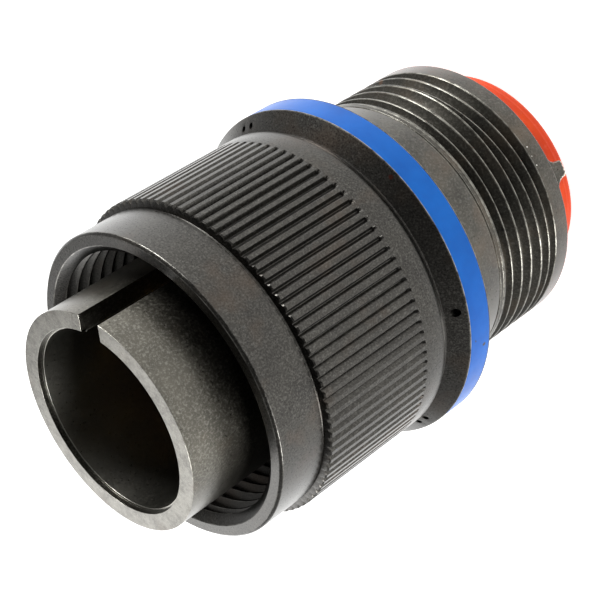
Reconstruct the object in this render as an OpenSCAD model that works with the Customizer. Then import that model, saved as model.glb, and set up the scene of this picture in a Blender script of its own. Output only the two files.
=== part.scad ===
// Circular cable plug with a screw-thread coupling nut, standing on its wire seal with the mating end up.
// Millimetres. Everything is turned about +Z, and the origin is the centre of the wire seal's rear face.

/* [Threads] */
// Major diameter of the coupling thread, from which the shell and the nut are stepped
coupling_d = 25.4; // [25:0.05:25.6]
// Pitch of the coupling thread and of the accessory thread
thread_pitch = 1.27; // [1:0.01:1.5]
// Width of the flat left on each thread crest
crest_flat = 0.18; // [0.1:0.02:0.3]
// Turns of the coupling thread
coupling_turns = 9; // [6:1:9]
// Turns of the accessory thread
accessory_turns = 6; // [4:1:7]

/* [Mating barrel] */
// Radial width of the ledge round the barrel's root, which the peripheral seal lies on
seal_ledge_w = 2; // [1.6:0.05:2.3]
// Depth of the undercut at the barrel's root, which keeps the peripheral seal in place
seal_undercut = 0.25; // [0.2:0.05:0.4]
// Wall of the mating barrel
barrel_wall = 1.75; // [1.4:0.05:2.1]
// Length of the mating barrel above the seal shoulder
barrel_len = 18.2; // [16:0.1:22]
// Depth of the shallow counterbore at the barrel's mouth
mouth_depth = 0.45; // [0.2:0.05:1]
// Radial step of the counterbore at the barrel's mouth
mouth_step = 0.22; // [0.1:0.02:0.4]
// Width of the master keyway through the barrel's wall
keyway_w = 2.25; // [1.6:0.05:3]
// Length of the master keyway, from the mouth
keyway_len = 10.2; // [6:0.1:12]

/* [Shell] */
// Radial step from the coupling thread's root out to the collar that carries the nut
collar_step = 0.5; // [0.3:0.05:0.7]
// Width of the collar
collar_w = 2; // [1.4:0.1:3]
// Radial step from the collar in to the plain body and the accessory thread
body_step = 0.5; // [0.3:0.05:0.8]
// Length of the plain rim behind the accessory thread
rim_len = 1.8; // [1.2:0.1:3]
// Chamfer at the rear end of the rim
rim_chamfer = 0.25; // [0.1:0.05:0.5]
// Length of the plain body, from the thread to the neck for the retaining ring
body_len = 6.2; // [5:0.1:9]
// Distance of the tool line on the body from the thread
tool_line_gap = 0.45; // [0.3:0.05:1]
// Width of the tool line
tool_line_w = 0.25; // [0.1:0.05:0.4]
// Depth of the tool line
tool_line_depth = 0.1; // [0.05:0.01:0.2]
// Depth below the collar of the neck that the retaining ring slides on
ring_neck_depth = 1.1; // [0.9:0.05:1.4]
// Length of the neck that the retaining ring slides on
ring_neck_len = 2.6; // [2.3:0.1:3.4]
// Depth below the collar of the neck that ends at the peripheral seal
seal_neck_depth = 1.4; // [1.2:0.05:1.8]
// Length of the neck below the peripheral seal
seal_neck_len = 4.8; // [4:0.1:6]
// Wall of the rim, from the thread's crest to the rear bore
rim_wall = 1.9; // [1.5:0.05:2.3]
// Radial width of the ledge between the rear bore and the middle bore
ledge_w = 1.6; // [1:0.1:2.2]
// Length of the shell's middle step
mid_bore_len = 5.9; // [4:0.1:7]

/* [Locating tooth] */
// Height of the locating tooth on the shell's rear end
tooth_h = 1.25; // [0.6:0.05:1.8]
// Width of the tooth between its root fillets
tooth_w = 1.5; // [1.2:0.1:2.4]
// Radius of the fillets at the tooth's root
tooth_fillet = 0.85; // [0.4:0.05:1]
// Radius of the tooth's tip corners
tooth_tip_r = 0.3; // [0.1:0.05:0.5]
// Angle of the tooth about the axis
tooth_angle = -152; // [-180:1:180]

/* [Coupling nut] */
// Wall of the plain front band, outside the coupling thread's root
band_wall = 1.05; // [0.8:0.05:1.3]
// Radial step from the front band out to the plain land and the knurl crests
knurl_step = 0.65; // [0.4:0.05:0.9]
// Radial step from the plain land out to the rear flange
flange_step = 1.1; // [0.9:0.05:1.8]
// Width of the rear flange
flange_w = 2.6; // [2:0.1:4]
// Radial step from the plain land in to the small end of the cone ahead of the flange
cone_step = 0.45; // [0.3:0.05:0.6]
// Length of the cone ahead of the flange
cone_len = 1.15; // [0.8:0.05:2]
// Length of the plain land ahead of the cone
land_len = 3; // [2:0.1:5]
// Length of the knurl
knurl_len = 11.4; // [10.5:0.1:14]
// Grooves of the straight knurl
knurl_teeth = 96; // [72:4:120]
// Depth of the knurl's grooves
knurl_depth = 0.34; // [0.2:0.01:0.4]
// Width of a knurl groove at the crest
knurl_groove_w = 0.54; // [0.3:0.02:0.6]
// Length of the plain front band
band_len = 4.8; // [4:0.1:7]
// Chamfer on the outer edge of the front band
band_chamfer = 0.2; // [0.1:0.05:0.4]
// Length of the skirt behind the shoulder that bears on the thrust washer
skirt_len = 5.8; // [5.4:0.1:6.6]
// Length of the bearing shoulder
shoulder_len = 2.8; // [1.5:0.1:3]
// Radial depth of the relief behind the coupling thread, below the thread's root
relief_step = 0.25; // [0.15:0.05:0.3]

/* [Wire locking holes] */
// Diameter of the wire locking holes through the flange
wire_hole_d = 0.75; // [0.5:0.05:0.8]
// Distance of the holes' centres from the flange's edge
wire_hole_edge = 0.8; // [0.6:0.05:0.9]
// Angle of one single hole; the other is opposite
single_hole_angle = -170; // [-180:1:180]
// Angle of the first pair of holes
pair_angle_1 = -57; // [-180:1:180]
// Angle of the second pair of holes
pair_angle_2 = 135; // [-180:1:180]
// Angle between the two holes of a pair
pair_spread = 4.4; // [4:0.1:10]

/* [Colour band] */
// Depth of the enamel band let into the flange
colour_band_t = 0.12; // [0.08:0.01:0.2]
// Metal edge left on each side of the enamel band
colour_band_edge = 0.12; // [0.1:0.02:0.5]

/* [Retaining ring and washer] */
// Thickness of the retaining ring
ring_t = 0.9; // [0.7:0.05:1]
// Radial reach of the retaining ring into its groove in the nut
ring_hold = 0.45; // [0.35:0.05:0.5]
// Gap between the ends of the retaining ring
ring_gap = 3; // [1:0.1:6]
// Thickness of the thrust washer
washer_t = 0.5; // [0.3:0.05:0.8]
// Distance of the thrust washer's rim inside the collar's rim
washer_inset = 0.22; // [0.1:0.02:0.4]
// Axial float of the coupling nut on the shell
nut_float = 1; // [0.5:0.05:1.2]

/* [Seals and inserts] */
// Thickness of the peripheral seal
seal_t = 1; // [0.7:0.05:1.5]
// Height of the bead on the peripheral seal
seal_bead = 0.35; // [0.2:0.05:0.5]
// Distance of the peripheral seal's rim inside the rim of the neck it lies on
seal_inset = 0.11; // [0.05:0.01:0.2]
// Length of the rear wire seal
grommet_len = 10.5; // [8:0.1:13]
// Length of the rear wire seal that stands out of the shell
grommet_proud = 4.2; // [3:0.1:6]
// Radial step from the rear bore in to the part of the wire seal that stands out
grommet_step = 0.2; // [0.1:0.05:0.5]
// Radius of the wire seal's rear edge
grommet_edge_r = 0.9; // [0.4:0.1:1.3]
// Height of the plain part of the wire seal's edge above the round
grommet_step_z = 1.5; // [1.3:0.1:2.4]
// Length of the rear insert
rear_insert_len = 10.5; // [8:0.1:12]
// Length of the front insert
front_insert_len = 9.5; // [8:0.1:11]
// Thickness of the interfacial seal
face_seal_t = 0.7; // [0.5:0.05:1.2]
// Height of the raised cone round each pin
face_seal_cone = 0.5; // [0.3:0.05:0.8]

/* [Contacts] */
// Diameter of the circle of outer contacts
contact_circle_d = 9.8; // [9:0.1:11]
// Diameter of the contact pins
pin_d = 1.57; // [1.4:0.01:1.7]
// Length of the pins above the interfacial seal's cones
pin_proud = 5.8; // [4:0.1:6.5]
// Diameter of the contact body
contact_d = 2.2; // [2:0.05:2.3]
// Radial width of the contact's shoulder
contact_shoulder_w = 0.4; // [0.3:0.05:0.45]
// Length of the contact's shoulder
contact_shoulder_len = 1.2; // [0.8:0.1:1.6]
// Depth of the contact's crimp barrel
crimp_depth = 5.5; // [4:0.1:6.5]
// Wall of the crimp barrel
crimp_wall = 0.27; // [0.2:0.01:0.35]
// Distance that the crimp barrel reaches into the wire seal
crimp_reach = 1.5; // [1:0.1:3]
// Sheet thickness of the retention clips
clip_t = 0.15; // [0.1:0.01:0.2]
// Length of the retention clips
clip_len = 3.9; // [3.4:0.1:5]
// Width of the slots in the retention clips
clip_slot_w = 0.4; // [0.2:0.05:0.6]

/* [Fits] */
// Radial running clearance between the coupling nut and the collar
nut_play = 0.08; // [0.02:0.01:0.1]
// Radial clearance of the retaining ring in its groove
ring_play = 0.1; // [0.05:0.01:0.15]
// Radial clearance between the retaining ring and the neck inside it
ring_neck_gap = 0.23; // [0.15:0.01:0.3]
// Axial clearance of the retaining ring in its groove
ring_end_play = 0.05; // [0.02:0.01:0.1]
// Radial clearance between the nut's shoulder and the neck inside it
shoulder_gap = 0.35; // [0.3:0.05:0.5]
// Radial clearance of the fixed inner pieces
seat_gap = 0.04; // [0.01:0.01:0.08]
// Radial clearance between the contact's shoulder and the retention clip round it
clip_gap = 0.15; // [0.1:0.01:0.2]

/* [Hidden] */
$fn = 96;
CONTACTS = 7;

// Radial depth of both V threads
thread_depth = 0.61 * thread_pitch;
// Width of a V groove at the crest, and of the flat at its root
groove_w = thread_pitch - crest_flat;
root_flat = crest_flat / 2;

// Radii, stepped in and out from the root of the coupling thread
coupling_r = coupling_d / 2;
coupling_minor_r = coupling_r - thread_depth;
collar_r = coupling_r + collar_step;
pocket_r = collar_r + nut_play;
body_r = collar_r - body_step;
ring_neck_r = collar_r - ring_neck_depth;
seal_neck_r = collar_r - seal_neck_depth;
barrel_r = seal_neck_r - seal_ledge_w;
undercut_r = barrel_r - seal_undercut;
barrel_bore_r = barrel_r - barrel_wall;
mouth_r = barrel_bore_r + mouth_step;
rear_bore_r = body_r - rim_wall;
mid_bore_r = rear_bore_r - ledge_w;
band_r = coupling_r + band_wall;
knurl_r = band_r + knurl_step;
knurl_root_r = knurl_r - knurl_depth;
flange_r = knurl_r + flange_step;
cone_r = knurl_r - cone_step;
ring_outer_r = pocket_r + ring_hold;
ring_inner_r = ring_neck_r + ring_neck_gap;
contact_r = contact_d / 2;
pin_r = pin_d / 2;
contact_shoulder_r = contact_r + contact_shoulder_w;
clip_r = contact_shoulder_r + clip_gap + clip_t;

// Heights on the shell, from its rear end up
z_rear = grommet_proud;
z_thread = z_rear + rim_len;
z_body = z_thread + accessory_turns * thread_pitch - crest_flat;
z_neck = z_body + body_len;
z_collar = z_neck + ring_neck_len;
z_bearing = z_collar + collar_w;
z_seal = z_bearing + seal_neck_len;
z_undercut = z_seal + seal_t + seal_bead;
z_mouth = z_seal + barrel_len;
barrel_edge = 0.15;
collar_chamfer = 0.2;

// How the tooth joins the shell: depth of its root, start of its fillets and inset from both walls
tooth_root = 0.5;
tooth_bite = 0.04;
tooth_inset = 0.06;

// Heights of the inserts, which stack up from the wire seal
z_insert = grommet_len;
z_ledge = z_insert + rear_insert_len;
z_front_step = z_ledge + mid_bore_len;
z_face_seal = z_ledge + front_insert_len;
z_face = z_face_seal + face_seal_t;
z_tip = z_face + face_seal_cone + pin_proud;

// Heights on the coupling nut, which rests on the thrust washer
z_shoulder = z_bearing + washer_t;
z_flange = z_shoulder - skirt_len;
z_cone = z_flange + flange_w;
z_land = z_cone + cone_len;
z_knurl = z_land + land_len;
z_band = z_knurl + knurl_len;
z_front = z_band + band_len;
nut_mouth_chamfer = 0.7;
z_coupling = z_front - nut_mouth_chamfer - coupling_turns * thread_pitch + crest_flat;
z_relief = z_shoulder + shoulder_len;
flange_chamfer = 0.1;
rear_bore_chamfer = 0.25;
land_round = 0.8;
neck_line = 0.2;

// The retaining ring hangs in its groove and stops the nut under the collar
z_ring = z_collar - nut_float - ring_t;

// Points of an arc about [cr, cz], from angle a0 to a1
function arc(cr, cz, r, a0, a1, steps = 6) =
    [for (i = [0:steps]) let (a = a0 + (a1 - a0) * i / steps) [cr + r * cos(a), cz + r * sin(a)]];

// V grooves of a thread cut from radius r to radius deep, from height z up
function v_grooves(r, deep, z, turns) =
    [for (i = [0:turns - 1]) let (zi = z + i * thread_pitch) each [
        [r, zi],
        [deep, zi + (groove_w - root_flat) / 2],
        [deep, zi + (groove_w + root_flat) / 2],
        [r, zi + groove_w]
    ]];

function reversed(points) = [for (i = [len(points) - 1:-1:0]) points[i]];

// Place of contact i: the first is on the axis and the rest are on a circle
function contact_place(i) =
    i == 1 ? [0, 0, 0] : contact_circle_d / 2 * [cos(60 * (i - 2)), sin(60 * (i - 2)), 0];

module turned(points) {
    rotate_extrude() polygon(points);
}

module ring(outer_r, inner_r, z, h) {
    translate([0, 0, z]) difference() {
        cylinder(r = outer_r, h = h);
        translate([0, 0, -1]) cylinder(r = inner_r, h = h + 2);
    }
}

module at_contacts() {
    for (i = [1:CONTACTS]) translate(contact_place(i)) children();
}

// Outline of the locating tooth: concave root fillets that start inside the shell, and a rounded tip
module tooth_outline() {
    half = tooth_w / 2;
    tip_z = z_rear - tooth_h;
    fillet = min(tooth_fillet, tooth_h - tooth_tip_r);
    right = concat(
        [[half + fillet, z_rear + tooth_root]],
        arc(half + fillet, z_rear + tooth_bite - fillet, fillet, 90, 180),
        arc(half - tooth_tip_r, tip_z + tooth_tip_r, tooth_tip_r, 0, -90)
    );
    left = [for (p = reversed(right)) [-p[0], p[1]]];
    polygon(concat(right, left));
}

module locating_tooth() {
    rotate(tooth_angle) intersection() {
        translate([rear_bore_r - 1, 0, 0])
            rotate([90, 0, 90]) linear_extrude(height = body_r) tooth_outline();
        ring(body_r - rim_chamfer - tooth_inset, rear_bore_r + tooth_inset,
            z_rear - tooth_h - 1, tooth_h + 1 + tooth_root);
    }
}

// Shell: barrel, collar, plain body, accessory thread and rim in one turned piece
module plug_shell() {
    z_line = z_body + tool_line_gap;
    outside = concat(
        [[body_r - rim_chamfer, z_rear], [body_r, z_rear + rim_chamfer]],
        v_grooves(body_r, body_r - thread_depth, z_thread, accessory_turns),
        [
            [body_r, z_line],
            [body_r - tool_line_depth, z_line],
            [body_r - tool_line_depth, z_line + tool_line_w],
            [body_r, z_line + tool_line_w],
            [body_r, z_neck],
            [ring_neck_r, z_neck],
            [ring_neck_r, z_collar],
            [collar_r, z_collar],
            [collar_r, z_bearing - collar_chamfer],
            [collar_r - collar_chamfer, z_bearing],
            [seal_neck_r, z_bearing],
            [seal_neck_r, z_seal],
            [undercut_r, z_seal],
            [undercut_r, z_undercut],
            [barrel_r, z_undercut],
            [barrel_r, z_mouth - barrel_edge],
            [barrel_r - barrel_edge, z_mouth]
        ]
    );
    inside = [
        [mouth_r, z_mouth],
        [mouth_r, z_mouth - mouth_depth],
        [barrel_bore_r, z_mouth - mouth_depth],
        [barrel_bore_r, z_front_step],
        [mid_bore_r, z_front_step],
        [mid_bore_r, z_ledge],
        [rear_bore_r, z_ledge],
        [rear_bore_r, z_rear]
    ];
    color([0.34, 0.33, 0.31]) {
        difference() {
            turned(concat(outside, inside));
            translate([-keyway_w / 2, -2 * barrel_r, z_mouth - keyway_len])
                cube([keyway_w, 2 * barrel_r, keyway_len + 1]);
        }
        locating_tooth();
    }
}

// Knurl: flat-topped teeth between V grooves, standing on the nut's body
module knurl_teeth_ring() {
    pitch = 2 * PI * knurl_r / knurl_teeth;
    star_r = knurl_root_r + knurl_depth * pitch / knurl_groove_w;
    intersection() {
        translate([0, 0, z_knurl]) linear_extrude(height = knurl_len) polygon([
            for (i = [0:knurl_teeth - 1]) each [
                knurl_root_r * [cos(360 * i / knurl_teeth), sin(360 * i / knurl_teeth)],
                star_r * [cos(360 * (i + 0.5) / knurl_teeth), sin(360 * (i + 0.5) / knurl_teeth)]
            ]
        ]);
        ring(knurl_r, knurl_root_r - 0.4, z_knurl, knurl_len);
    }
}

// One wire locking hole through the flange
module wire_hole(angle) {
    rotate(angle) translate([flange_r - wire_hole_edge, 0, z_flange - 1])
        cylinder(d = wire_hole_d, h = flange_w + cone_len + 1, $fn = 24);
}

// Coupling nut: knurled, threaded inside, with a flange behind that carries the colour band
module coupling_nut() {
    outside = concat(
        [
            [flange_r - flange_chamfer, z_flange],
            [flange_r, z_flange + flange_chamfer],
            [flange_r, z_flange + colour_band_edge],
            [flange_r - colour_band_t, z_flange + colour_band_edge],
            [flange_r - colour_band_t, z_cone - colour_band_edge],
            [flange_r, z_cone - colour_band_edge],
            [flange_r, z_cone],
            [cone_r, z_land],
            [cone_r, z_land + neck_line]
        ],
        arc(knurl_r - land_round, z_land + neck_line + land_round, land_round, -60, 0),
        [
            [knurl_r, z_knurl],
            [knurl_root_r - 0.05, z_knurl],
            [knurl_root_r - 0.05, z_band],
            [band_r, z_band],
            [band_r, z_front - band_chamfer],
            [band_r - band_chamfer, z_front]
        ]
    );
    inside = concat(
        [[coupling_minor_r + nut_mouth_chamfer, z_front], [coupling_minor_r, z_front - nut_mouth_chamfer]],
        reversed(v_grooves(coupling_minor_r, coupling_r, z_coupling, coupling_turns)),
        [
            [coupling_r + relief_step, z_coupling - crest_flat],
            [coupling_r + relief_step, z_relief],
            [seal_neck_r + shoulder_gap, z_relief],
            [seal_neck_r + shoulder_gap, z_shoulder],
            [pocket_r, z_shoulder],
            [pocket_r, z_ring + ring_t + ring_end_play],
            [ring_outer_r + ring_play, z_ring + ring_t + ring_end_play],
            [ring_outer_r + ring_play, z_ring - ring_end_play],
            [pocket_r, z_ring - ring_end_play],
            [pocket_r, z_flange + rear_bore_chamfer],
            [pocket_r + rear_bore_chamfer, z_flange]
        ]
    );
    color([0.38, 0.37, 0.35]) difference() {
        union() {
            turned(concat(outside, inside));
            knurl_teeth_ring();
        }
        wire_hole(single_hole_angle);
        wire_hole(single_hole_angle + 180);
        for (a = [pair_angle_1, pair_angle_2], side = [-0.5, 0.5]) wire_hole(a + side * pair_spread);
    }
}

// Blue enamel filled into the flange's groove
module colour_band() {
    color([0.13, 0.42, 0.82])
        ring(flange_r, flange_r - colour_band_t, z_flange + colour_band_edge,
            flange_w - 2 * colour_band_edge);
}

// Split ring that keeps the nut behind the collar
module retaining_ring() {
    color([0.62, 0.61, 0.58]) difference() {
        ring(ring_outer_r, ring_inner_r, z_ring, ring_t);
        translate([0, -ring_gap / 2, z_ring - 1]) cube([flange_r, ring_gap, ring_t + 2]);
    }
}

// Low-friction washer between the collar and the nut's shoulder
module thrust_washer() {
    color([0.85, 0.84, 0.8]) ring(collar_r - washer_inset, seal_neck_r + nut_play, z_bearing, washer_t);
}

// Flat seal with a bead, stretched into the undercut at the root of the barrel
module peripheral_seal() {
    inner_r = undercut_r + seat_gap;
    outer_r = seal_neck_r - seal_inset;
    bead_r = (outer_r - inner_r) / 4;
    mid_r = (outer_r + inner_r) / 2;
    color([0.75, 0.33, 0.2]) turned(concat(
        [[inner_r, z_seal], [outer_r, z_seal], [outer_r, z_seal + seal_t]],
        [for (a = [0:30:180]) [mid_r + bead_r * cos(a), z_seal + seal_t + seal_bead * sin(a)]],
        [[inner_r, z_seal + seal_t]]
    ));
}

// Wire passage of the seal: narrow webs between wider stretches
module wire_passage() {
    wide_r = contact_r + seat_gap;
    web_r = wide_r * 0.7;
    web_pitch = (grommet_len - crimp_reach) / 4;
    turned(concat(
        [[0, -1], [web_r, -1]],
        [for (k = [0:3]) each [
            [web_r, k * web_pitch + 0.5],
            [wide_r, k * web_pitch + web_pitch * 0.5],
            [wide_r, k * web_pitch + web_pitch * 0.7],
            [k < 3 ? web_r : wide_r, (k + 1) * web_pitch]
        ]],
        [[wide_r, grommet_len + 1], [0, grommet_len + 1]]
    ));
}

// Soft rear seal that the wires pass through
module rear_wire_seal() {
    out_r = rear_bore_r - grommet_step;
    in_r = rear_bore_r - seat_gap;
    color([0.86, 0.31, 0.16]) difference() {
        turned(concat(
            [[0, 0]],
            arc(out_r - grommet_edge_r - 0.25, grommet_edge_r, grommet_edge_r, -90, 0),
            [
                [out_r - 0.25, grommet_step_z - 0.2],
                [out_r, grommet_step_z],
                [out_r, z_rear - 0.3],
                [in_r, z_rear],
                [in_r, grommet_len],
                [0, grommet_len]
            ]
        ));
        at_contacts() wire_passage();
    }
}

// Rear half of the hard insert, with a cavity for each clip
module rear_insert() {
    color([0.2, 0.24, 0.2]) difference() {
        translate([0, 0, z_insert]) cylinder(r = rear_bore_r - seat_gap, h = rear_insert_len);
        at_contacts() {
            translate([0, 0, z_insert - 1])
                cylinder(r = contact_shoulder_r + seat_gap, h = rear_insert_len + 2);
            translate([0, 0, z_ledge - clip_len]) cylinder(r = clip_r + seat_gap, h = clip_len + 1);
        }
    }
}

// Front half of the hard insert, stepped against the shell's inner ledges
module front_insert() {
    foot_r = mid_bore_r - seat_gap;
    nose_r = barrel_bore_r - seat_gap;
    color([0.2, 0.24, 0.2]) difference() {
        turned([
            [0, z_ledge],
            [foot_r, z_ledge],
            [foot_r, z_front_step],
            [nose_r, z_front_step],
            [nose_r, z_face_seal],
            [0, z_face_seal]
        ]);
        at_contacts() {
            translate([0, 0, z_ledge - 1]) cylinder(r = pin_r + seat_gap, h = front_insert_len + 2);
            translate([0, 0, z_ledge - 1])
                cylinder(r = contact_r + seat_gap, h = mid_bore_len / 2 + 1);
        }
    }
}

// Soft seal on the insert's face, with a raised cone round each pin
module interfacial_seal() {
    color([0.75, 0.33, 0.2]) difference() {
        union() {
            translate([0, 0, z_face_seal]) cylinder(r = barrel_bore_r - seat_gap, h = face_seal_t);
            at_contacts() translate([0, 0, z_face])
                cylinder(r1 = pin_d, r2 = pin_d * 0.7, h = face_seal_cone);
        }
        at_contacts() translate([0, 0, z_face_seal - 1])
            cylinder(r = pin_r + seat_gap, h = face_seal_t + face_seal_cone + 2);
    }
}

// Rear-release crimp contact: crimp barrel, shoulder, body and pin
module contact_pin(i) {
    crimp_bore_r = contact_r - crimp_wall;
    z_crimp = z_insert - crimp_reach;
    z_stop = z_ledge - contact_shoulder_len;
    z_pin = z_ledge + mid_bore_len / 2;
    color([0.8, 0.64, 0.3]) translate(contact_place(i)) turned(concat(
        [
            [0, z_crimp + crimp_depth],
            [crimp_bore_r, z_crimp + crimp_depth],
            [crimp_bore_r, z_crimp],
            [contact_r, z_crimp],
            [contact_r, z_stop],
            [contact_shoulder_r, z_stop],
            [contact_shoulder_r, z_ledge],
            [contact_r, z_ledge],
            [contact_r, z_pin],
            [pin_r, z_pin]
        ],
        [for (a = [0:15:90]) [pin_r * cos(a), z_tip - pin_r + pin_r * sin(a)]]
    ));
}

// Slotted sheet clip whose tines stop the contact's shoulder from behind
module contact_clip(i) {
    z_foot = z_ledge - clip_len;
    foot_h = 0.6;
    tine_z = z_ledge - contact_shoulder_len - 0.05;
    tine_r = contact_r + 0.08;
    color([0.72, 0.52, 0.28]) translate(contact_place(i)) difference() {
        turned([
            [clip_r - 2 * clip_t, z_foot],
            [clip_r, z_foot],
            [clip_r, z_ledge - 0.05],
            [clip_r - clip_t, z_ledge - 0.05],
            [clip_r - clip_t, z_foot + foot_h],
            [tine_r + clip_t, tine_z],
            [tine_r, tine_z]
        ]);
        for (a = [0, 90]) rotate(a)
            translate([-2 * clip_r, -clip_slot_w / 2, z_foot + foot_h])
                cube([4 * clip_r, clip_slot_w, clip_len]);
    }
}

plug_shell();
coupling_nut();
colour_band();
retaining_ring();
thrust_washer();
peripheral_seal();
rear_wire_seal();
rear_insert();
front_insert();
interfacial_seal();
for (i = [1:CONTACTS]) contact_pin(i);
for (i = [1:CONTACTS]) contact_clip(i);
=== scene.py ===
import math

import bmesh
import bpy
import numpy as np
from mathutils import Matrix, Vector


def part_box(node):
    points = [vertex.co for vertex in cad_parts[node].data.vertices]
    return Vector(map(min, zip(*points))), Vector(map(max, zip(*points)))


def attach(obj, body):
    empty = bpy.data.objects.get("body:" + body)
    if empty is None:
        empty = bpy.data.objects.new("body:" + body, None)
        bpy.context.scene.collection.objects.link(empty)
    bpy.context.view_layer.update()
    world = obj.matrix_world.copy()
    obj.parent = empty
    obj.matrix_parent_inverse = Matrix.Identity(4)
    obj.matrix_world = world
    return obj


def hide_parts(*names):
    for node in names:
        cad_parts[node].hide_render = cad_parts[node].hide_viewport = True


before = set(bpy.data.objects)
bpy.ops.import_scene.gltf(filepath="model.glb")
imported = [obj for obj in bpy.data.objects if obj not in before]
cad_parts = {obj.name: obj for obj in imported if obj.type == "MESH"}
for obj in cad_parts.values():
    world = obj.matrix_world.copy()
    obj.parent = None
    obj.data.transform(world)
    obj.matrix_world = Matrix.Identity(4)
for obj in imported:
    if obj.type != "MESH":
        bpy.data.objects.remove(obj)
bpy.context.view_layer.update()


# Shell. One turned piece of aluminium alloy carries everything else: the mating barrel with its
# master keyway, the collar that the nut runs on, the plain body, the accessory thread and the rim
# with its locating tooth. It is plated with dull dark zinc-nickel, which rubs bright on the edges.

MM = 0.001
# Vertices nearer to each other than this, in metres, are merged into one.
MERGE, FINE_MERGE = 2e-6, 2e-7
SHELL_LOW, SHELL_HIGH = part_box("plug_shell")
MOUTH_Z = SHELL_HIGH.z / MM
RIM_Z = SHELL_LOW.z / MM + 1.25
BODY_R = 12.7
BODY_Z = 13.3
RIM_TOP_Z = 6.1
EDGE_BREAK = 0.07
KEYWAY_W, KEYWAY_LEN = 2.25, 10.2
TOOTH_ANGLE = -152
TURN_STEPS = 288


def turn(bm, points, steps=TURN_STEPS):
    """Turns a closed outline of (radius, height) points in mm about the axis into a solid ring."""
    verts = [bm.verts.new((r * MM, 0, z * MM)) for r, z in points]
    edges = [bm.edges.new(pair) for pair in zip(verts, verts[1:] + verts[:1])]
    bmesh.ops.spin(bm, geom=verts + edges, cent=(0, 0, 0), axis=(0, 0, 1), dvec=(0, 0, 0),
                   angle=2 * math.pi, steps=steps, use_merge=True)
    bmesh.ops.remove_doubles(bm, verts=bm.verts, dist=FINE_MERGE)
    bmesh.ops.recalc_face_normals(bm, faces=bm.faces)


def bevel_edges(bm, edges, width):
    """Rounds edges off, by a width in mm."""
    bmesh.ops.bevel(bm, geom=edges, offset=width * MM, offset_type="OFFSET", affect="EDGES",
                    segments=2, profile=0.5, material=-1, clamp_overlap=True)


def soften(bm, width, least_angle):
    """Bevels every edge that is sharper than an angle, as tumbling and handling do."""
    bevel_edges(bm, [e for e in bm.edges if len(e.link_faces) == 2
                     and e.calc_face_angle() > math.radians(least_angle)], width)


def verts_of(geometry):
    """The vertices in a mixed list of geometry."""
    return [g for g in geometry if isinstance(g, bmesh.types.BMVert)]


def piece_from(bm, name):
    """Makes a finished mesh into an object in the scene."""
    mesh = bpy.data.meshes.new(name)
    bm.to_mesh(mesh)
    bm.free()
    piece = bpy.data.objects.new(name, mesh)
    bpy.context.scene.collection.objects.link(piece)
    return piece


def cut_away(piece, bm_cutter):
    """Cuts a shape out of a piece, and leaves the piece with its final mesh."""
    cutter = piece_from(bm_cutter, piece.name + "_cutter")
    cut = piece.modifiers.new("cut", "BOOLEAN")
    cut.operation = "DIFFERENCE"
    cut.solver = "EXACT"
    cut.object = cutter
    graph = bpy.context.evaluated_depsgraph_get()
    mesh = bpy.data.meshes.new_from_object(piece.evaluated_get(graph))
    piece.modifiers.clear()
    piece.data = mesh
    bpy.data.objects.remove(cutter)


def mark_edges(piece, kept_z=(0, 0), rubbed_z=100):
    """Marks where metal is rubbed, from 0 to 1: narrow faces that turn off on both sides, except
    between two heights in mm, and in part the end face above a height."""
    narrow_width, sharp_turn, end_face_mark = 0.2, 0.5, 0.25
    bm = bmesh.new()
    bm.from_mesh(piece.data)
    marks = []
    for face in bm.faces:
        turned_by = sorted((e.calc_face_angle_signed(0) if len(e.link_faces) == 2 else 0,
                            e.calc_length()) for e in face.edges)
        angle, length = turned_by[-2]
        narrow = face.calc_area() < narrow_width * MM * length
        height = face.calc_center_median().z / MM
        kept = kept_z[0] < height < kept_z[1]
        mark = max(0.0, min(1.0, angle / sharp_turn)) if narrow and not kept else 0.0
        end_face = height > rubbed_z and face.normal.z > 0.9
        marks.append(max(mark, end_face_mark) if end_face else mark)
    bm.free()
    layer = piece.data.attributes.new("edge", "FLOAT", "FACE")
    layer.data.foreach_set("value", marks)


def shade(piece, angle=20):
    """Smooth shading that stays crisp at the corners, so the flats look flat."""
    piece.data.polygons.foreach_set("use_smooth", [True] * len(piece.data.polygons))
    piece.data.set_sharp_from_angle(angle=math.radians(angle))


# The accessory thread's crest lines, as heights in mm at angles going back round the shell from
# its front angle. Two crests run together for part of a turn, where the thread was damaged.
CREST_ANGLES = [-369, -320, -220, -118, -88, -60, -33, -9]
FIRST_ANGLE, LAST_ANGLE = CREST_ANGLES[0], CREST_ANGLES[-1]
CREST_LINES = {
    -1: [13.30, 13.30, 13.30, 13.30, 13.30, 13.30, 13.30, 13.30],
    0: [12.13, 12.48, 12.99, 13.30, 13.30, 13.30, 13.30, 13.30],
    1: [10.52, 10.93, 11.62, 12.29, 12.29, 12.29, 12.29, 12.13],
    2: [9.06, 9.53, 10.22, 10.92, 10.92, 10.92, 10.84, 10.52],
    3: [9.06, 8.13, 8.91, 9.60, 9.60, 9.53, 9.20, 9.06],
    4: [7.36, 7.10, 7.59, 8.10, 8.38, 8.67, 9.02, 9.06],
    5: [6.10, 6.20, 6.66, 7.02, 7.16, 7.36, 7.62, 7.36],
    6: [6.10, 6.10, 6.10, 6.10, 6.10, 6.10, 6.10, 6.10],
}
THREAD_FRONT_ANGLE = -67.5
GROOVE_DEPTH = 0.775
THREAD_PITCH = 1.27
# Across one groove, as shares of its pitch and depth: both crests are worn round.
GROOVE = [(0, 0), (0.02, 0.005), (0.045, 0.021), (0.07, 0.051), (0.095, 0.096), (0.12, 0.157),
          (0.44, 0.94), (0.465, 0.98), (0.5, 1), (0.535, 0.98), (0.56, 0.94), (0.88, 0.157),
          (0.905, 0.096), (0.93, 0.051), (0.955, 0.021), (0.98, 0.005)]


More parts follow.
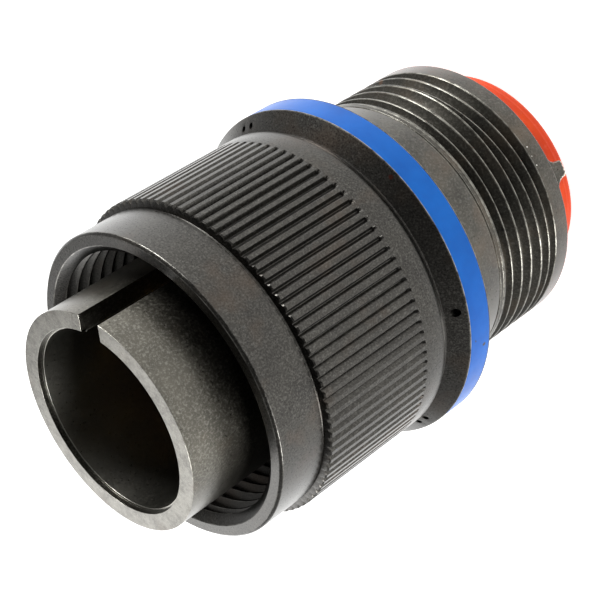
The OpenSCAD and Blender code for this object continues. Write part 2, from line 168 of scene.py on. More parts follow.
def crest_height(crest, angle):
    """A crest's height at an angle. Past either end of its line the next crest carries on."""
    if angle > LAST_ANGLE:
        return crest_height(max(crest - 1, min(CREST_LINES)), angle - 360)
    if angle < FIRST_ANGLE:
        return crest_height(min(crest + 1, max(CREST_LINES)), angle + 360)
    return float(np.interp(angle, CREST_ANGLES, CREST_LINES[crest]))


def smooth_crest_height(crest, angle):
    """A crest's height, averaged over 20 degrees so that its line has no corners."""
    return sum(crest_height(crest, angle + d) for d in (-10, -5, 0, 5, 10)) / 5


def wind(bm, chain):
    """Winds a chain of vertices through one turn of a helix that advances by the pitch."""
    edges = [bm.edges.new(pair) for pair in zip(chain, chain[1:])]
    bmesh.ops.spin(bm, geom=chain + edges, cent=(0, 0, 0), axis=(0, 0, 1), angle=2 * math.pi,
                   dvec=(0, 0, THREAD_PITCH * MM / TURN_STEPS), steps=TURN_STEPS, use_merge=False)


def accessory_thread(bm):
    """A V thread wound as one helix, its crests then laid along their lines."""
    rows = [(turn_no + t, deep) for turn_no in range(-1, 6) for t, deep in GROOVE] + [(6, 0)]
    row_of = bm.verts.layers.float.new("row")
    depth_of = bm.verts.layers.float.new("depth")
    chain = []
    for row, deep in rows:
        vert = bm.verts.new((BODY_R * MM, 0, -row * THREAD_PITCH * MM))
        vert[row_of], vert[depth_of] = row, deep
        chain.append(vert)
    wind(bm, chain)
    lines = {}
    for vert in bm.verts:
        row, deep = vert[row_of], vert[depth_of]
        share = vert.co.z / MM / THREAD_PITCH + row
        step = round(share * TURN_STEPS)
        angle = FIRST_ANGLE + 360 * step / TURN_STEPS
        crest = min(math.floor(row + 1e-4), 5)
        for line in (crest, crest + 1):
            if (line, step) not in lines:
                lines[line, step] = smooth_crest_height(line, angle)
        above, below = lines[crest, step], lines[crest + 1, step]
        height = above + (below - above) * (row - crest)
        radius = BODY_R - deep * GROOVE_DEPTH * min(1, (above - below) / THREAD_PITCH)
        turned = math.radians(angle + THREAD_FRONT_ANGLE)
        vert.co = (radius * MM * math.cos(turned), radius * MM * math.sin(turned), height * MM)
    bmesh.ops.remove_doubles(bm, verts=bm.verts, dist=MERGE)
    close_sleeve(bm, wall_r=11.5)


def close_sleeve(bm, wall_r):
    """Closes a threaded sleeve with flat ends and a wall inside the metal, of a radius in mm."""
    ends = [e for e in bm.edges if len(e.link_faces) == 1]
    walls = bmesh.ops.extrude_edge_only(bm, edges=ends)["geom"]
    for vert in verts_of(walls):
        flat = Vector((vert.co.x, vert.co.y, 0)).normalized() * wall_r * MM
        vert.co.x, vert.co.y = flat.x, flat.y
    bmesh.ops.remove_doubles(bm, verts=bm.verts, dist=MERGE)
    loops = [e for e in bm.edges if len(e.link_faces) == 1]
    bmesh.ops.bridge_loops(bm, edges=loops)
    bmesh.ops.recalc_face_normals(bm, faces=bm.faces)


def locating_tooth(bm):
    """The tooth: an outline with hollow root fillets and round corners at its tip, drawn out
    along the radius."""
    half, tall, fillet, tip = 0.75, 1.5, 1.1, 0.3
    inner_r, thick = 10.9, 1.45
    right = [(half + fillet, 0.5)]
    right += [(half + fillet + fillet * math.cos(math.radians(a)),
               0.04 - fillet + fillet * math.sin(math.radians(a))) for a in range(90, 181, 15)]
    right += [(half - tip + tip * math.cos(math.radians(a)),
               -tall + tip + tip * math.sin(math.radians(a))) for a in range(0, -91, -18)]
    outline = right + [(-y, z) for y, z in reversed(right)]
    face = bm.faces.new([bm.verts.new((inner_r * MM, y * MM, (RIM_Z + z) * MM))
                         for y, z in outline])
    drawn = bmesh.ops.extrude_face_region(bm, geom=[face])["geom"]
    bmesh.ops.translate(bm, vec=(thick * MM, 0, 0), verts=verts_of(drawn))
    bmesh.ops.recalc_face_normals(bm, faces=bm.faces)
    soften(bm, EDGE_BREAK, 60)
    bmesh.ops.rotate(bm, cent=(0, 0, 0), verts=bm.verts,
                     matrix=Matrix.Rotation(math.radians(TOOTH_ANGLE), 3, "Z"))


def join_into(bm, other):
    """Adds another mesh under construction to this one."""
    mesh = bpy.data.meshes.new("part")
    other.to_mesh(mesh)
    other.free()
    bm.from_mesh(mesh)
    bpy.data.meshes.remove(mesh)


shell_bm = bmesh.new()
turn(shell_bm, [
    # The rim, and the seat that the accessory thread's sleeve fills
    (10.8, RIM_Z), (BODY_R - 0.25, RIM_Z), (BODY_R, RIM_Z + 0.25), (BODY_R, RIM_TOP_Z),
    (11.7, RIM_TOP_Z), (11.7, BODY_Z), (BODY_R, BODY_Z),
    # The plain body, with its shallow tool line
    (BODY_R, 13.52), (BODY_R - 0.03, 13.56), (BODY_R - 0.03, 13.89), (BODY_R - 0.1, 13.95),
    (BODY_R - 0.1, 14.08), (BODY_R, 14.14), (BODY_R, 19.64),
    # The retaining ring's neck, the collar and the neck below the peripheral seal
    (12.1, 19.64), (12.1, 22.24), (13.2, 22.24), (13.2, 24.04), (13.0, 24.24), (11.8, 24.24),
    (11.8, 29.04),
    # The barrel's undercut, its outside and its stepped mouth
    (9.55, 29.04), (9.55, 30.39), (9.8, 30.39), (9.8, MOUTH_Z), (8.27, MOUTH_Z),
    (8.27, MOUTH_Z - 0.45), (8.05, MOUTH_Z - 0.45),
    # The bore, in three steps
    (8.05, 26.9), (9.2, 26.9), (9.2, 21.0), (10.8, 21.0),
])
soften(shell_bm, EDGE_BREAK, 25)
plug_shell = piece_from(shell_bm, "shell")

keyway = bmesh.new()
bmesh.ops.create_cube(keyway, size=1)
bmesh.ops.scale(keyway, vec=(KEYWAY_W * MM, 8 * MM, 12 * MM), verts=keyway.verts)
bmesh.ops.translate(keyway, vec=(0, -9 * MM, (MOUTH_Z - KEYWAY_LEN + 6) * MM),
                    verts=keyway.verts)
cut_away(plug_shell, keyway)

shell_bm = bmesh.new()
shell_bm.from_mesh(plug_shell.data)
slot_edges = [e for e in shell_bm.edges if len(e.link_faces) == 2
              and e.calc_face_angle() > math.radians(50)
              and all(abs(abs(v.co.x) - KEYWAY_W / 2 * MM) < MERGE and v.co.y < 0
                      for v in e.verts)]
bevel_edges(shell_bm, slot_edges, 0.06)
thread_bm = bmesh.new()
accessory_thread(thread_bm)
join_into(shell_bm, thread_bm)
tooth_bm = bmesh.new()
locating_tooth(tooth_bm)
join_into(shell_bm, tooth_bm)
shell_bm.to_mesh(plug_shell.data)
shell_bm.free()
mark_edges(plug_shell, rubbed_z=MOUTH_Z - 0.1)
shade(plug_shell)


def linear(hex_colour):
    """An sRGB hex colour as linear RGBA."""
    parts = [int(hex_colour[i:i + 2], 16) / 255 for i in (1, 3, 5)]
    return tuple(c / 12.92 if c <= 0.04045 else ((c + 0.055) / 1.055) ** 2.4 for c in parts) + (1,)


def add_node(tree, kind, settings=None, out=0, **inputs):
    """Adds a node with its settings, and gives one of its outputs. A value that is another node's
    output is linked, and any other is set. Inputs go by name, or by number as i0 and so on."""
    node = tree.nodes.new(kind)
    for key, value in (settings or {}).items():
        setattr(node, key, value)
    names = [s.name.replace(" ", "_") for s in node.inputs]
    for key, value in inputs.items():
        place = names.index(key) if key in names else int(key[1:])
        if isinstance(value, bpy.types.NodeSocket):
            tree.links.new(value, node.inputs[place])
        else:
            node.inputs[place].default_value = value
    return node.outputs[out] if node.outputs else None


def new_material(name):
    """An empty material, with its node tree."""
    material = bpy.data.materials.new(name)
    material.use_nodes = True
    material.node_tree.nodes.clear()
    return material, material.node_tree


def lumps(tree, size_mm, detail=3, roughness=0.6, squash=(1, 1, 1)):
    """An uneven pattern fixed to the object, with lumps about this many mm across."""
    coords = add_node(tree, "ShaderNodeTexCoord", out="Object")
    place = add_node(tree, "ShaderNodeMapping", Vector=coords, Scale=squash)
    return add_node(tree, "ShaderNodeTexNoise", out="Fac", Vector=place,
                    Scale=1 / (size_mm * MM), Detail=detail, Roughness=roughness)


def patches(tree, size_mm, detail, roughness, low, high, most=1):
    """A share in patches: none where the lumps are below low, and the most where above high."""
    return add_node(tree, "ShaderNodeMapRange", Value=lumps(tree, size_mm, detail, roughness),
                    From_Min=low, From_Max=high, To_Max=most)


def layered(tree, colour, *layers):
    """A colour with other tones laid over it in turn, each with its share of the whole."""
    for share, tone in layers:
        colour = add_node(tree, "ShaderNodeMix", {"data_type": "RGBA"}, out=2,
                          i0=share, i6=colour, i7=linear(tone))
    return colour


def marked(tree, colour, marks):
    """Adds small ragged marks to a colour. Each has a place in mm, a width in mm and a tone."""
    coords = add_node(tree, "ShaderNodeTexCoord", out="Object")
    for place, width, tone in marks:
        away = add_node(tree, "ShaderNodeVectorMath", {"operation": "DISTANCE"}, out="Value",
                        i0=coords, i1=tuple(c * MM for c in place))
        ragged = add_node(tree, "ShaderNodeMath", {"operation": "MULTIPLY_ADD"},
                          i0=lumps(tree, 0.3, 2), i1=0.5 * width * MM, i2=away)
        share = add_node(tree, "ShaderNodeMapRange", Value=ragged, From_Min=0.55 * width * MM,
                         From_Max=0.8 * width * MM, To_Min=1, To_Max=0)
        colour = layered(tree, colour, (share, tone))
    return colour


def end_material(tree, height, strength, depth_mm, **inputs):
    """Ends a material: its fine relief, some mm deep, and its surface."""
    relief = add_node(tree, "ShaderNodeBump", Strength=strength, Distance=depth_mm * MM,
                      Height=height)
    surface = add_node(tree, "ShaderNodeBsdfPrincipled", Normal=relief, **inputs)
    add_node(tree, "ShaderNodeOutputMaterial", Surface=surface)


def coat(piece, material):
    """Gives a piece its one material."""
    piece.data.materials.clear()
    piece.data.materials.append(material)


def zinc_nickel(name, dark, light, stain, rubbed, shine, grain_mm, sandy, handled_z, marks):
    """Dull zinc-nickel plate over blasted aluminium: a dark satin metal with a fine sandy grain,
    clouded in patches, stained faintly brown, rubbed bright along its outer edges, brighter in the
    bore that is masked from blasting, and paler and sandier from handling above a height in mm.
    Blasting leaves a grain of some hundredths of a mm, which is drawn several times coarser."""
    material, tree = new_material(name)
    place = add_node(tree, "ShaderNodeTexCoord", out="Object")
    height = add_node(tree, "ShaderNodeSeparateXYZ", out="Z", Vector=place)
    handled = add_node(tree, "ShaderNodeMapRange", Value=height, From_Min=(handled_z - 3) * MM,
                       From_Max=(handled_z + 3) * MM)
    paler = add_node(tree, "ShaderNodeMath", {"operation": "MULTIPLY_ADD"}, i0=handled, i1=0.45,
                     i2=patches(tree, 2.6, 4, 0.65, 0.3, 0.7, most=0.55))
    grain = lumps(tree, grain_mm, 2, 0.7)
    grains = add_node(tree, "ShaderNodeMapRange", Value=grain, From_Min=0.48, From_Max=0.75,
                      To_Max=sandy)
    showing = add_node(tree, "ShaderNodeMapRange", Value=handled, To_Min=0.5)
    sand = add_node(tree, "ShaderNodeMath", {"operation": "MULTIPLY"}, i0=grains, i1=showing)
    stains = patches(tree, 5.5, 3, 0.6, 0.54, 0.72, most=0.45)
    edge = add_node(tree, "ShaderNodeAttribute", {"attribute_name": "edge"}, out="Fac")
    level = add_node(tree, "ShaderNodeVectorMath", {"operation": "MULTIPLY"}, i0=place,
                     i1=(1, 1, 0))
    radius = add_node(tree, "ShaderNodeVectorMath", {"operation": "LENGTH"}, out="Value",
                      i0=level)
    bore = add_node(tree, "ShaderNodeMapRange", Value=radius, From_Min=8.1 * MM,
                    From_Max=8.2 * MM, To_Min=0.6, To_Max=0)
    bright = add_node(tree, "ShaderNodeMath", {"operation": "MULTIPLY_ADD"}, i0=edge,
                      i1=patches(tree, 0.9, 4, 0.7, 0.38, 0.6), i2=bore)
    colour = layered(tree, linear(dark), (paler, light), (sand, rubbed), (stains, stain),
                     (bright, rubbed))
    rough = add_node(tree, "ShaderNodeMapRange", Value=grain, From_Min=0.3, From_Max=0.7,
                     To_Min=shine - 0.05, To_Max=shine + 0.08)
    end_material(tree, grain, 0.35, 0.02, Base_Color=marked(tree, colour, marks), Metallic=1.0,
                 Roughness=rough, Coat_Weight=0.4, Coat_Roughness=0.28)
    return material


shell_marks = [
    # Three small dents on the rim, each drawn only as a pale speck: a painted highlight for its
    # glint
    ((-9.28, -8.67, 5.81), 0.13, "#dddcd6"), ((-9.86, -8.0, 5.9), 0.1, "#cfcdc6"),
    ((-10.4, -7.3, 5.9), 0.12, "#cfcdc6"),
    # Plating rubbed off along the tooth's tip and one of its sides, painted near white: bare metal
    # with a painted highlight along the edge
    ((-10.65, -6.28, 2.7), 0.36, "#e2ded2"), ((-10.81, -5.97, 2.68), 0.36, "#e6e2d6"),
    ((-11.0, -5.62, 2.68), 0.36, "#e6e2d6"), ((-11.19, -5.27, 2.74), 0.4, "#e2ded2"),
    ((-11.26, -5.14, 3.0), 0.32, "#d8d4c8"), ((-11.27, -5.12, 3.28), 0.3, "#c9c5b9"),
    ((-11.3, -5.05, 3.56), 0.3, "#c9c5b9"),
    # A brown spot in the thread, dark red chips at the rim's rear edge, and a dent by the thread,
    # drawn only as a dark spot of painted shade
    ((5.78, -11.18, 7.46), 0.7, "#5f4735"), ((-3.2, -12.1, 4.25), 0.75, "#4a1c12"),
    ((-6.75, -10.4, 4.25), 0.7, "#4a1c12"), ((-12.3, -2.6, 4.25), 0.5, "#4a2015"),
    ((-11.77, -4.52, 12.41), 0.35, "#201f1d"),
]
shell_metal = zinc_nickel("zinc_nickel_plated_shell", "#2c2a25", "#504d45", "#57493a", "#a3a198",
                          shine=0.32, grain_mm=0.2, sandy=0.34, handled_z=26,
                          marks=shell_marks)
coat(plug_shell, shell_metal)
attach(plug_shell, "plug")
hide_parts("plug_shell")


# Inserts. Two hard halves of glass-filled thermoset, moulded dark green-grey and bonded into the
# shell, hold the contacts in their cavities. The front half's steps rest on the shell's ledges.


def dress(node, material):
    """Gives a CAD node its finished material."""
    coat(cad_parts[node], material)


def clouded(tree, size_mm, dark, light):
    """Two close tones in soft clouds that are about this many mm across."""
    return layered(tree, linear(dark), (patches(tree, size_mm, 3, 0.6, 0.35, 0.65), light))


def moulded(name, dark, light, matt, grain_mm, depth_mm):
    """A moulded surface: two close tones in soft clouds, and the mould's fine grain, which is
    drawn coarser than it is."""
    material, tree = new_material(name)
    grain = lumps(tree, grain_mm, 2)
    rough = add_node(tree, "ShaderNodeMapRange", Value=grain, From_Min=0.3, From_Max=0.7,
                     To_Min=matt - 0.05, To_Max=matt + 0.08)
    end_material(tree, grain, 0.3, depth_mm, Base_Color=clouded(tree, 3.0, dark, light),
                 Roughness=rough)
    return material


insert_thermoset = moulded("glass_filled_thermoset", "#1b211b", "#262d25", 0.5, 0.12, 0.01)
dress("rear_insert", insert_thermoset)
dress("front_insert", insert_thermoset)


# Retention clips. Rolled strips of beryllium copper with four sprung tines, snapped into the rear
# insert's cavities, where they catch the contacts' shoulders from behind.


def plated(name, dark, light, shine, grain_mm):
    """A plated or rolled bare metal, faintly cloudy, with fine lines along it, which are drawn
    coarser than they are."""
    material, tree = new_material(name)
    grain = lumps(tree, grain_mm, 2, squash=(1, 1, 0.15))
    rough = add_node(tree, "ShaderNodeMapRange", Value=grain, From_Min=0.3, From_Max=0.7,
                     To_Min=shine - 0.04, To_Max=shine + 0.06)
    end_material(tree, grain, 0.2, 0.005, Base_Color=clouded(tree, 1.2, dark, light),
                 Metallic=1.0, Roughness=rough)
    return material


CONTACTS = range(1, 8)
clip_copper = plated("beryllium_copper", "#b58a52", "#c99c62", 0.32, 0.1)
for number in CONTACTS:
    dress(f"contact_clip_{number}", clip_copper)


# Contacts. Seven turned copper alloy pins with a shoulder and a crimp barrel, gold plated, pushed
# in from the rear until their shoulders pass the clips.

contact_gold = plated("gold_plated_copper_alloy", "#c9a04a", "#dcb562", 0.22, 0.08)
for number in CONTACTS:
    dress(f"contact_pin_{number}", contact_gold)


# Seals on the insert's face and round the barrel's root. Both are moulded dark red-brown
# fluorosilicone, soft and dull: one has a raised cone round each pin and one a low bead.

face_rubber = moulded("fluorosilicone_rubber", "#452821", "#502f26", 0.62, 0.1, 0.012)
dress("interfacial_seal", face_rubber)
dress("peripheral_seal", face_rubber)


# Rear wire seal. A thick plug of bright orange silicone rubber, moulded with a round rear edge and
# a necked passage for each wire, pressed into the shell's rear bore and standing proud of it.

SEAL_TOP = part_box("rear_wire_seal")[1].z / MM
PASSAGE_CIRCLE_R = 4.9
seal_bm = bmesh.new()
turn(seal_bm, [
    # The rear face, its round edge, the step that stands proud and the part inside the shell
    (0.0, 0.0), (9.2, 0.0), (9.62, 0.05), (9.92, 0.18), (10.17, 0.42), (10.31, 0.7),
    (10.35, 0.95), (10.36, 1.3), (10.45, 1.42), (10.58, 1.5), (10.6, 1.6), (10.6, 3.9),
    (10.76, RIM_Z), (10.76, SEAL_TOP), (0.0, SEAL_TOP),
], steps=192)
bmesh.ops.remove_doubles(seal_bm, verts=seal_bm.verts, dist=MERGE)
wire_seal = piece_from(seal_bm, "wire_seal")
passages = bmesh.new()
turn(passages, [
    # Three necks grip the wire, between wider rooms
    (0.0, -1.0), (1.1, -1.0), (1.1, -0.01), (0.8, 0.35), (0.8, 0.6), (1.14, 1.3), (1.14, 1.6),
    (0.8, 2.4), (0.8, 2.8), (1.14, 3.5), (1.14, 3.8), (0.8, 4.6), (0.8, 5.0), (1.14, 5.7),
    (1.14, 6.0), (0.8, 6.9), (0.8, 7.2), (1.14, 8.9), (1.14, 12.0), (0.0, 12.0),
], steps=32)
first_passage = list(passages.verts) + list(passages.edges) + list(passages.faces)
for number in range(6):
    copied = bmesh.ops.duplicate(passages, geom=first_passage)["geom"]
    place = (PASSAGE_CIRCLE_R * MM * math.cos(math.radians(60 * number)),
             PASSAGE_CIRCLE_R * MM * math.sin(math.radians(60 * number)), 0)
    bmesh.ops.translate(passages, vec=place, verts=verts_of(copied))
cut_away(wire_seal, passages)
shade(wire_seal, 38)


def silicone(name, deep, bright, pale):
    """Satin moulded silicone: saturated, a little see-through, dusted paler in places."""
    material, tree = new_material(name)
    dust = patches(tree, 0.5, 5, 0.7, 0.56, 0.8, most=0.3)
    colour = layered(tree, clouded(tree, 3.0, deep, bright), (dust, pale))
    end_material(tree, lumps(tree, 0.3), 0.2, 0.02, Base_Color=colour, Roughness=0.42,
                 Specular_IOR_Level=0.15, Subsurface_Weight=0.15, Subsurface_Scale=0.6 * MM,
                 Subsurface_Radius=(1.0, 0.35, 0.2))
    return material


coat(wire_seal, silicone("orange_silicone_rubber", "#cb3a0c", "#da4812", "#e08566"))
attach(wire_seal, "plug")
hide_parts("rear_wire_seal")


# Thrust washer and retaining ring. The washer is a thin disc of pale filled fluoropolymer on the
# collar; the split ring of bright spring steel in the nut's groove keeps the nut on the shell.

dress("thrust_washer", moulded("filled_fluoropolymer", "#d8d5cb", "#c9c5b9", 0.45, 0.15, 0.006))
dress("retaining_ring", plated("spring_steel", "#8d8b86", "#a3a19b", 0.28, 0.1))


# Coupling nut. Turned from aluminium alloy bar with a straight knurl, an internal thread and a
# wide rear flange drilled for locking wire, then blasted and plated like the shell.

NUT_LOW, NUT_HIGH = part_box("coupling_nut")
FLANGE_Z = NUT_LOW.z / MM
FRONT_Z = NUT_HIGH.z / MM
FLANGE_R = NUT_HIGH.x / MM
KNURL_TEETH = 96
KNURL_R, KNURL_DEEP = 14.4, 0.34
BAND_R = 13.75
THREAD_R = 11.925
HOLE_R, PAIRED_HOLE_R = 0.375, 0.24
# Across one tooth, as shares of its pitch: a flat crest with rubbed corners and a V groove that
# leans a little, as the knurling wheel left it.
TOOTH = [(0.0, 0.06), (0.03, 0.0), (0.42, 0.0), (0.45, 0.06), (0.62, 0.52), (0.79, 1.0),
         (0.84, 1.0), (0.93, 0.5)]


def nut_body(bm):
    """Rings of one circle's vertices, extruded from each to the next round the nut's section.
    Each ring has its height, its radius and the depth of the knurl's grooves, in mm."""
    z0, z1 = FLANGE_Z, FRONT_Z
    rings = [(z, r, 0.0) for r, z in [
        # The flange, with the groove for its colour band
        (13.53, z0), (15.42, z0), (FLANGE_R, z0 + 0.08), (FLANGE_R, z0 + 0.12),
        (FLANGE_R - 0.12, z0 + 0.12), (FLANGE_R - 0.12, z0 + 2.48), (FLANGE_R, z0 + 2.48),
        (FLANGE_R, z0 + 2.54), (FLANGE_R - 0.07, z0 + 2.62),
        # The cone, and the rounded land
        (14.02, z0 + 3.69), (13.95, z0 + 3.76), (13.95, z0 + 3.9), (14.0, z0 + 4.04),
        (14.16, z0 + 4.18), (14.3, z0 + 4.38), (14.38, z0 + 4.6), (KNURL_R, z0 + 4.85),
        (KNURL_R, z0 + 6.66), (KNURL_R - 0.01, z0 + 6.7)]]
    # The knurl, from the steep run-out of its grooves to its chamfered front
    rings += [(z0 + 6.95, KNURL_R, KNURL_DEEP), (z0 + 17.98, KNURL_R, KNURL_DEEP),
              (z0 + 18.1, KNURL_R - 0.1, KNURL_DEEP - 0.1)]
    rings += [(z, r, 0.0) for r, z in [
        # A narrow relief, the plain front band and its broken edge
        (13.85, z0 + 18.16), (13.66, z0 + 18.19), (13.64, z0 + 18.3), (13.69, z0 + 18.34),
        (BAND_R, z0 + 18.4), (BAND_R, z1 - 0.24), (BAND_R - 0.03, z1 - 0.18),
        (BAND_R - 0.18, z1 - 0.03), (BAND_R - 0.24, z1),
        # The mouth's chamfer, and the wall that the coupling thread's sleeve covers
        (12.68, z1), (12.6, z1 - 0.04), (11.96, z1 - 0.68), (11.93, z1 - 0.74),
        (12.95, z1 - 0.78), (12.95, z0 + 8.6),
        # The shoulder, and the pocket with the retaining ring's groove
        (12.15, z0 + 8.6), (12.15, z0 + 5.8), (13.28, z0 + 5.8), (13.28, z0 + 2.35),
        (13.83, z0 + 2.35), (13.83, z0 + 1.35), (13.28, z0 + 1.35), (13.28, z0 + 0.25)]]
    count = KNURL_TEETH * len(TOOTH)
    layer = bm.verts.layers.int.new("place")
    circle = bmesh.ops.create_circle(bm, cap_ends=False, radius=1, segments=count)["verts"]
    edges = list(bm.edges)
    for number, vert in enumerate(circle):
        vert[layer] = number

    def shape(verts, z, crest_r, deep):
        for vert in verts:
            tooth, part = divmod(vert[layer], len(TOOTH))
            share, sunk = TOOTH[part]
            angle = 2 * math.pi * (tooth + share) / KNURL_TEETH
            radius = (crest_r - deep * sunk) * MM
            vert.co = (radius * math.cos(angle), radius * math.sin(angle), z * MM)

    shape(circle, *rings[0])
    first = edges
    for ring in rings[1:]:
        drawn = bmesh.ops.extrude_edge_only(bm, edges=edges)["geom"]
        edges = [g for g in drawn if isinstance(g, bmesh.types.BMEdge)]
        shape(verts_of(drawn), *ring)
    bmesh.ops.bridge_loops(bm, edges=first + edges)
    bmesh.ops.recalc_face_normals(bm, faces=bm.faces)


def coupling_thread(bm):
    """The nut's internal V thread, wound as one helix and cut off square at both ends."""
    turns = 11
    rows = [(turn_no + t, deep) for turn_no in range(turns) for t, deep in GROOVE] + [(turns, 0)]
    wind(bm, [bm.verts.new(((THREAD_R + deep * GROOVE_DEPTH) * MM, 0,
                            (FRONT_Z + 0.6 - row * THREAD_PITCH) * MM)) for row, deep in rows])
    bmesh.ops.remove_doubles(bm, verts=bm.verts, dist=MERGE)
    for height, way in ((FRONT_Z - 0.72, 1), (FLANGE_Z + 10.9, -1)):
        geometry = list(bm.verts) + list(bm.edges) + list(bm.faces)
        bmesh.ops.bisect_plane(bm, geom=geometry, plane_co=(0, 0, height * MM),
                               plane_no=(0, 0, way), clear_outer=True)
    close_sleeve(bm, wall_r=13.0)


def wire_holes():
    """The locking wire's holes: two opposite each other, and two close pairs of finer ones."""
    bm = bmesh.new()
    holes = [(-170, HOLE_R), (10, HOLE_R)]
    holes += [(a + s, PAIRED_HOLE_R) for a in (-57, 135) for s in (-2.2, 2.2)]
    for angle, hole_r in holes:
        place = Matrix.Rotation(math.radians(angle), 4, "Z") @ Matrix.Translation(
            ((FLANGE_R - 0.8) * MM, 0, (FLANGE_Z + 1.5) * MM))
        bmesh.ops.create_cone(bm, cap_ends=True, segments=24, radius1=hole_r * MM,
                              radius2=hole_r * MM, depth=6 * MM, matrix=place)
    return bm


nut_bm = bmesh.new()
nut_body(nut_bm)
nut = piece_from(nut_bm, "nut")
cut_away(nut, wire_holes())
nut_bm = bmesh.new()
nut_bm.from_mesh(nut.data)
winding = bmesh.new()
coupling_thread(winding)
join_into(nut_bm, winding)
nut_bm.to_mesh(nut.data)
nut_bm.free()
# The knurl is left out of the rubbed edges, from end to end.
mark_edges(nut, kept_z=(FLANGE_Z + 6.2, FLANGE_Z + 18.25))
shade(nut)
nut_marks = [
    # A brown fleck, a nick in the front edge drawn only as a dark spot of painted shade, and a
    # pale and a dark speck on the cone
    ((-8.0, -12.79, 21.82), 0.45, "#4f2116"), ((9.9, -8.5, 41.89), 0.4, "#151413"),
    ((3.2, -14.8, 22.0), 0.22, "#cfcdc6"), ((-0.5, -14.9, 22.1), 0.18, "#17120f"),
]
# A height past the nut's front, as no part of it is paler from handling.
ABOVE_ALL_Z = 60
nut_metal = zinc_nickel("zinc_nickel_plated_nut", "#252320", "#35332e", "#43362a", "#8c8a84",
                        shine=0.3, grain_mm=0.16, sandy=0.5, handled_z=ABOVE_ALL_Z,
                        marks=nut_marks)
coat(nut, nut_metal)
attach(nut, "coupling_nut")
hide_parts("coupling_nut")


# Colour band. Blue enamel filled into the flange's shallow groove and stoved, glossy and slightly
# crowned, with a few chips through to the metal.

BAND_LOW, BAND_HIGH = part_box("colour_band")
band_bm = bmesh.new()
low, high = BAND_LOW.z / MM, BAND_HIGH.z / MM
turn(band_bm, [
    (FLANGE_R - 0.13, low), (FLANGE_R - 0.02, low + 0.01), (FLANGE_R - 0.005, low + 0.06),
    (FLANGE_R, low + 0.2), (FLANGE_R, high - 0.2), (FLANGE_R - 0.005, high - 0.06),
    (FLANGE_R - 0.02, high - 0.01), (FLANGE_R - 0.13, high),
], steps=384)
colour_band = piece_from(band_bm, "enamel_band")
shade(colour_band)


def enamel(name, deep, bright, bare):
    """Stoved enamel: a strong, nearly even blue with a soft gloss and small chips."""
    material, tree = new_material(name)
    chips = patches(tree, 0.35, 3, 0.5, 0.755, 0.765)
    chipped = layered(tree, clouded(tree, 4.0, deep, bright), (chips, bare))
    colour = marked(tree, chipped, [((-15.43, 1.48, 19.73), 0.4, bare)])
    end_material(tree, lumps(tree, 0.5), 0.15, 0.02, Base_Color=colour, Roughness=0.3,
                 Specular_IOR_Level=0.15)
    return material


coat(colour_band, enamel("blue_stoved_enamel", "#0852a4", "#0d5eb4", "#3c3d42"))
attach(colour_band, "coupling_nut")
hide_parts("colour_band")


# Studio. A plain pale floor that the plug stands on, soft lamps on both sides and behind, and a
# pale surround that is dimmer on the side the camera looks in from, as in an open light tent.
# The camera and reflections see the floor as white, and the camera sees the surround as white.

floor_bm = bmesh.new()
bmesh.ops.create_grid(floor_bm, x_segments=1, y_segments=1, size=1.5)
floor = piece_from(floor_bm, "floor")
floor_material, floor_tree = new_material("pale_paper_floor")
seen = add_node(floor_tree, "ShaderNodeLightPath", out="Is Camera Ray")
mirrored = add_node(floor_tree, "ShaderNodeLightPath", out="Is Glossy Ray")
whiter = add_node(floor_tree, "ShaderNodeMath", {"operation": "MULTIPLY_ADD"}, i0=seen, i1=0.75,
                  i2=mirrored)
paper = add_node(floor_tree, "ShaderNodeBsdfDiffuse", Color=linear("#f2f2f0"))
glow = add_node(floor_tree, "ShaderNodeEmission", Color=(1, 1, 1, 1), Strength=whiter)
paper_and_glow = add_node(floor_tree, "ShaderNodeAddShader", i0=paper, i1=glow)
add_node(floor_tree, "ShaderNodeOutputMaterial", Surface=paper_and_glow)
floor.data.materials.append(floor_material)

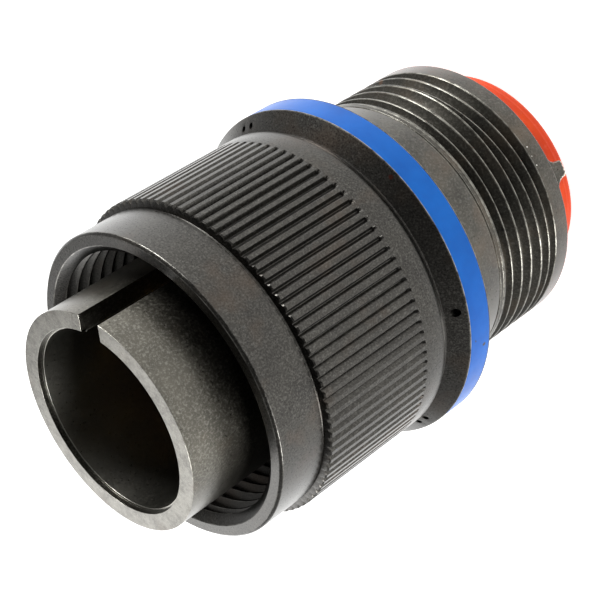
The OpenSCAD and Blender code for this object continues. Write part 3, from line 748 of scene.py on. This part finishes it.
world = bpy.data.worlds.new("light_tent")
bpy.context.scene.world = world
world.use_nodes = True
tent = world.node_tree
tent.nodes.clear()
OPENING = (-0.603, -0.560, 0.568)
way = add_node(tent, "ShaderNodeTexCoord", out="Generated")
towards_opening = add_node(tent, "ShaderNodeVectorMath", {"operation": "DOT_PRODUCT"},
                           out="Value", i0=way, i1=OPENING)
dimmed = add_node(tent, "ShaderNodeMapRange", Value=towards_opening, From_Min=0.1, From_Max=0.9,
                  To_Min=0.55, To_Max=0.18)
seen = add_node(tent, "ShaderNodeLightPath", out="Is Camera Ray")
strength = add_node(tent, "ShaderNodeMath", {"operation": "MAXIMUM"}, i0=dimmed, i1=seen)
sky = add_node(tent, "ShaderNodeBackground", Color=(1, 1, 1, 1), Strength=strength)
add_node(tent, "ShaderNodeOutputWorld", Surface=sky)


def soft_lamp(name, place, aim, size, power):
    """A square soft lamp at a place in metres, turned to face its aim."""
    data = bpy.data.lights.new(name, "AREA")
    data.shape = "SQUARE"
    data.size = size
    data.energy = power
    lamp = bpy.data.objects.new(name, data)
    bpy.context.scene.collection.objects.link(lamp)
    lamp.location = place
    lamp.rotation_euler = (Vector(aim) - Vector(place)).to_track_quat("-Z", "Y").to_euler()


soft_lamp("lamp_upper_left", (0.18, -0.35, 0.08), (0, 0, 0.025), 0.16, 1.8)
soft_lamp("lamp_lower_right", (-0.36, 0.17, 0.07), (0, 0, 0.025), 0.14, 1.7)
soft_lamp("lamp_behind", (0.22, 0.36, 0.25), (0, 0, 0.02), 0.3, 0.75)

camera_data = bpy.data.cameras.new("camera")
camera_data.sensor_width = 36
camera_data.lens = 97.86
camera_data.clip_start, camera_data.clip_end = 0.01, 10
camera = bpy.data.objects.new("camera", camera_data)
bpy.context.scene.collection.objects.link(camera)
camera.location = (-0.08405627, -0.07776066, 0.10464888)
camera_right = Vector((-0.72118003, 0.07766354, -0.68838052))
camera_up = Vector((0.34157593, -0.82463724, -0.45088724))
camera_back = Vector((-0.60268171, -0.56030509, 0.56818392))
camera.rotation_euler = Matrix((camera_right, camera_up, camera_back)).transposed().to_euler()
bpy.context.scene.camera = camera
bpy.context.scene.view_settings.view_transform = "Standard"
